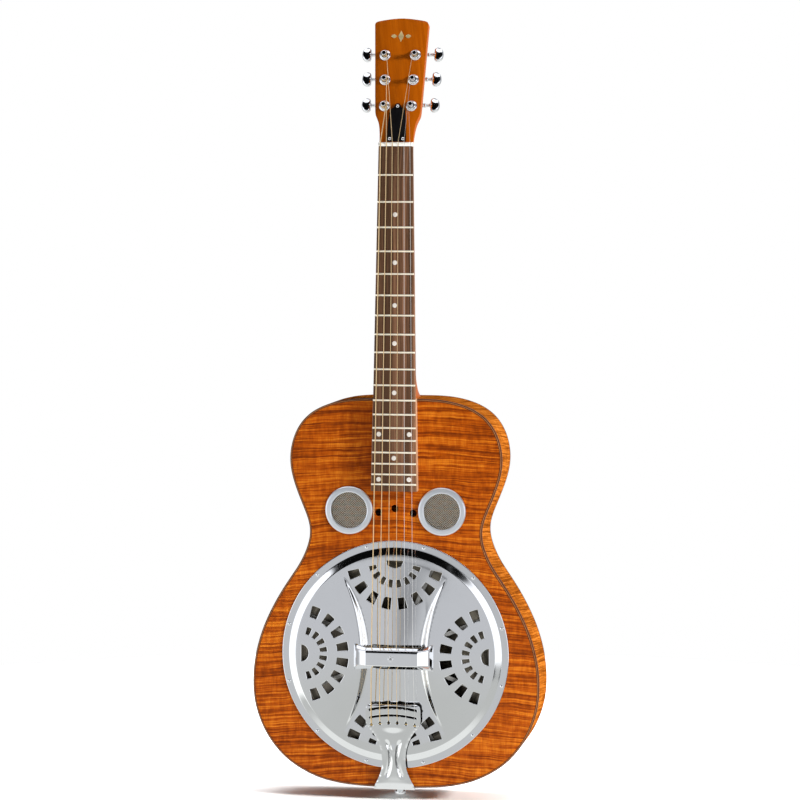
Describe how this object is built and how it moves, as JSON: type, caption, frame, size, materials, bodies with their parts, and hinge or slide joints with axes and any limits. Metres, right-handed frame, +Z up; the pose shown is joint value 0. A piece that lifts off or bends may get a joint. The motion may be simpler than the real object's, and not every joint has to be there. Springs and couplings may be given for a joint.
{
  "type": "resonator guitar",
  "caption": "Round-neck wooden resonator guitar with chromed coverplate, palm rest, tailpiece, screened sound holes and geared tuners whose buttons turn the string posts.",
  "frame": {"origin": "On the centre line of the back of the neck just below the headstock, 9.5 mm below the front edge of the nut, where the yoke of a wall or stand hanger holds the guitar.", "axes": "+Z up along the neck towards the headstock, -Y out of the soundboard towards the listener, +Y towards the back, +X to the treble side (the thin strings), which is the right side seen from the front."},
  "size_m": [0.3624, 0.115, 0.9758],
  "materials": {
    "flamed_maple": "figured maple in amber, gloss lacquer",
    "mahogany": "stained mahogany, gloss lacquer",
    "rosewood": "open-pored rosewood, satin, with nickel frets and pearl position dots",
    "spruce": "bare wood inside the body",
    "dark_binding": "dark tortoise-brown edge binding",
    "chrome": "mirror-bright plating",
    "spun_aluminium": "spun with fine turning lines",
    "cast_aluminium": "as cast",
    "wire_mesh": "fine woven wire, laid on the bias",
    "maple_saddle": "bare hard maple",
    "bone": "polished bone",
    "steel": "bright steel",
    "bronze": "bronze wire, wound",
    "black_plastic": "polished black"
  },
  "bodies": {
    "guitar": {"soundboard": "flamed_maple", "back_plate": "flamed_maple", "top_binding": "dark_binding", "back_binding": "dark_binding", "rim_bass": "flamed_maple", "rim_treble": "flamed_maple", "top_lining": "spruce", "back_lining": "spruce", "neck_block": "mahogany", "tail_block": "mahogany", "back_brace": "spruce", "soundwell": "spruce", "screen_bezel_bass": "chrome", "screen_mesh_bass": "wire_mesh", "screen_bezel_treble": "chrome", "screen_mesh_treble": "wire_mesh", "resonator_cone": "spun_aluminium", "spider_bridge": "cast_aluminium", "saddle_bass": "maple_saddle", "saddle_treble": "maple_saddle", "tension_screw": "steel", "coverplate": "chrome", "palm_rest": "chrome", "tailpiece": "chrome", "strap_button": "chrome", "truss_rod_cover": "black_plastic", "tuner_bushing_6": "chrome", "tuner_housing_6": "chrome", "tuner_bushing_5": "chrome", "tuner_housing_5": "chrome", "tuner_bushing_4": "chrome", "tuner_housing_4": "chrome", "tuner_bushing_3": "chrome", "tuner_housing_3": "chrome", "tuner_bushing_2": "chrome", "tuner_housing_2": "chrome", "tuner_bushing_1": "chrome", "tuner_housing_1": "chrome", "truss_rod": "steel", "fretboard": "rosewood", "nut": "bone", "neck": "mahogany", "string_6": "bronze", "string_5": "bronze", "string_4": "bronze", "string_3": "bronze", "string_2": "steel", "string_1": "steel"},
    "button_6": {"tuner_button_6": "chrome"},
    "post_6": {"tuner_post_6": "chrome"},
    "button_5": {"tuner_button_5": "chrome"},
    "post_5": {"tuner_post_5": "chrome"},
    "button_4": {"tuner_button_4": "chrome"},
    "post_4": {"tuner_post_4": "chrome"},
    "button_3": {"tuner_button_3": "chrome"},
    "post_3": {"tuner_post_3": "chrome"},
    "button_2": {"tuner_button_2": "chrome"},
    "post_2": {"tuner_post_2": "chrome"},
    "button_1": {"tuner_button_1": "chrome"},
    "post_1": {"tuner_post_1": "chrome"}
  },
  "joints": [
    {"name": "tuner_button_6_turn", "type": "hinge", "parent": "guitar", "child": "button_6", "pos_m": [-0.0369, 0.01775, 0.06256], "axis": [-1, 0, 0], "continuous": true},
    {"name": "tuner_post_6_turn", "type": "hinge", "parent": "guitar", "child": "post_6", "pos_m": [-0.0169, -0.00287, 0.06143], "axis": [0, -0.965, 0.2622], "continuous": true},
    {"name": "tuner_button_5_turn", "type": "hinge", "parent": "guitar", "child": "button_5", "pos_m": [-0.0378, 0.02658, 0.09509], "axis": [-1, 0, 0], "continuous": true},
    {"name": "tuner_post_5_turn", "type": "hinge", "parent": "guitar", "child": "post_5", "pos_m": [-0.0178, 0.00596, 0.09395], "axis": [0, -0.965, 0.2622], "continuous": true},
    {"name": "tuner_button_4_turn", "type": "hinge", "parent": "guitar", "child": "button_4", "pos_m": [-0.0391, 0.03497, 0.12597], "axis": [-1, 0, 0], "continuous": true},
    {"name": "tuner_post_4_turn", "type": "hinge", "parent": "guitar", "child": "post_4", "pos_m": [-0.0191, 0.01435, 0.12483], "axis": [0, -0.965, 0.2622], "continuous": true},
    {"name": "tuner_button_3_turn", "type": "hinge", "parent": "guitar", "child": "button_3", "pos_m": [0.0391, 0.03497, 0.12597], "axis": [1, 0, 0], "continuous": true},
    {"name": "tuner_post_3_turn", "type": "hinge", "parent": "guitar", "child": "post_3", "pos_m": [0.0191, 0.01435, 0.12483], "axis": [0, -0.965, 0.2622], "continuous": true},
    {"name": "tuner_button_2_turn", "type": "hinge", "parent": "guitar", "child": "button_2", "pos_m": [0.0378, 0.02658, 0.09509], "axis": [1, 0, 0], "continuous": true},
    {"name": "tuner_post_2_turn", "type": "hinge", "parent": "guitar", "child": "post_2", "pos_m": [0.0178, 0.00596, 0.09395], "axis": [0, -0.965, 0.2622], "continuous": true},
    {"name": "tuner_button_1_turn", "type": "hinge", "parent": "guitar", "child": "button_1", "pos_m": [0.0369, 0.01775, 0.06256], "axis": [1, 0, 0], "continuous": true},
    {"name": "tuner_post_1_turn", "type": "hinge", "parent": "guitar", "child": "post_1", "pos_m": [0.0169, -0.00287, 0.06143], "axis": [0, -0.965, 0.2622], "continuous": true}
  ],
  "couplings": [
    {"joint": "tuner_post_6_turn", "follows": "tuner_button_6_turn", "ratio": -0.066667},
    {"joint": "tuner_post_5_turn", "follows": "tuner_button_5_turn", "ratio": -0.066667},
    {"joint": "tuner_post_4_turn", "follows": "tuner_button_4_turn", "ratio": -0.066667},
    {"joint": "tuner_post_3_turn", "follows": "tuner_button_3_turn", "ratio": 0.066667},
    {"joint": "tuner_post_2_turn", "follows": "tuner_button_2_turn", "ratio": 0.066667},
    {"joint": "tuner_post_1_turn", "follows": "tuner_button_1_turn", "ratio": 0.066667}
  ]
}
